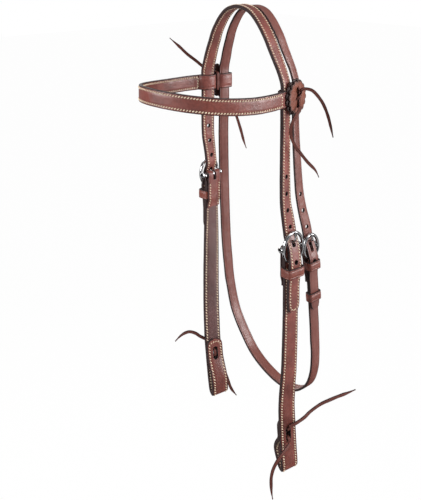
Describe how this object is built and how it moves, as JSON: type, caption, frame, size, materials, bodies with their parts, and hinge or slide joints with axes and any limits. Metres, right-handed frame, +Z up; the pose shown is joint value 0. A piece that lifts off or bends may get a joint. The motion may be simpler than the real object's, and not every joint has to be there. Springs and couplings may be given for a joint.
{
  "type": "western headstall",
  "caption": "Sewn leather western headstall with browband, throat latch, scalloped tie rosettes, tongue buckles and laced bit loops.",
  "frame": {"origin": "under the crown at the top of the poll, midway between crown and throat latch straps", "axes": "+Z up along the hanging cheeks, +X to the horse's near (left) side, -Y towards its forehead"},
  "size_m": [0.1888, 0.2368, 0.5407],
  "materials": {
    "leather": "oiled chestnut, burnished",
    "dark_leather": "dark edge-stained",
    "lace": "soft latigo lace",
    "steel": "polished"
  },
  "bodies": {
    "headstall": {"crown_strap": "leather", "cheek_near": "leather", "cheek_off": "leather", "throat_latch": "leather", "keeper_near": "leather", "keeper_off": "leather", "keeper_throat_fixed": "leather", "loop_tie_near": "lace", "loop_tie_off": "lace", "loop_tail_near_upper": "lace", "loop_tail_near_lower": "lace", "loop_tail_off_upper": "lace", "loop_tail_off_lower": "lace"},
    "browband_set": {"browband": "leather", "rosette_front_near": "leather", "rosette_front_off": "leather", "rosette_back_near": "dark_leather", "rosette_back_off": "dark_leather", "rosette_lace_near": "lace", "rosette_lace_off": "lace", "rosette_tail_near_upper": "lace", "rosette_tail_near_lower": "lace", "rosette_tail_off_upper": "lace", "rosette_tail_off_lower": "lace"},
    "loose_keeper": {"keeper_throat_loose": "leather"},
    "buckle_near": {"buckle_frame_near": "steel", "buckle_bar_near": "steel"},
    "tongue_near": {"buckle_tongue_near": "steel"},
    "buckle_off": {"buckle_frame_off": "steel", "buckle_bar_off": "steel"},
    "tongue_off": {"buckle_tongue_off": "steel"},
    "buckle_throat": {"buckle_frame_throat": "steel", "buckle_bar_throat": "steel"},
    "tongue_throat": {"buckle_tongue_throat": "steel"}
  },
  "joints": [
    {"name": "browband_slide", "type": "slide", "parent": "headstall", "child": "browband_set", "axis": [0, 0, 1], "range_m": [-0.008, 0.008]},
    {"name": "loose_keeper_slide", "type": "slide", "parent": "headstall", "child": "loose_keeper", "axis": [-0.0238, -0.0651, 0.9976], "range_m": [-0.008, 0.008]},
    {"name": "buckle_rock_near", "type": "hinge", "parent": "headstall", "child": "buckle_near", "pos_m": [0.06647, 0.00376, -0.261], "axis": [0.0698, 0.9976, 0], "range_deg": [0, 2]},
    {"name": "tongue_lift_near", "type": "hinge", "parent": "buckle_near", "child": "tongue_near", "pos_m": [0.06647, 0.00376, -0.261], "axis": [0.0698, 0.9976, 0], "range_deg": [0, 8]},
    {"name": "buckle_rock_off", "type": "hinge", "parent": "headstall", "child": "buckle_off", "pos_m": [-0.06647, 0.00376, -0.2105], "axis": [0.0698, -0.9976, 0], "range_deg": [0, 2]},
    {"name": "tongue_lift_off", "type": "hinge", "parent": "buckle_off", "child": "tongue_off", "pos_m": [-0.06647, 0.00376, -0.2105], "axis": [0.0698, -0.9976, 0], "range_deg": [0, 8]},
    {"name": "buckle_rock_throat", "type": "hinge", "parent": "headstall", "child": "buckle_throat", "pos_m": [0.06646, 0.03223, -0.26814], "axis": [0.0654, 0.993, 0.0988], "range_deg": [0, 3]},
    {"name": "tongue_lift_throat", "type": "hinge", "parent": "buckle_throat", "child": "tongue_throat", "pos_m": [0.06646, 0.03223, -0.26814], "axis": [0.0654, 0.993, 0.0988], "range_deg": [0, 8]}
  ]
}
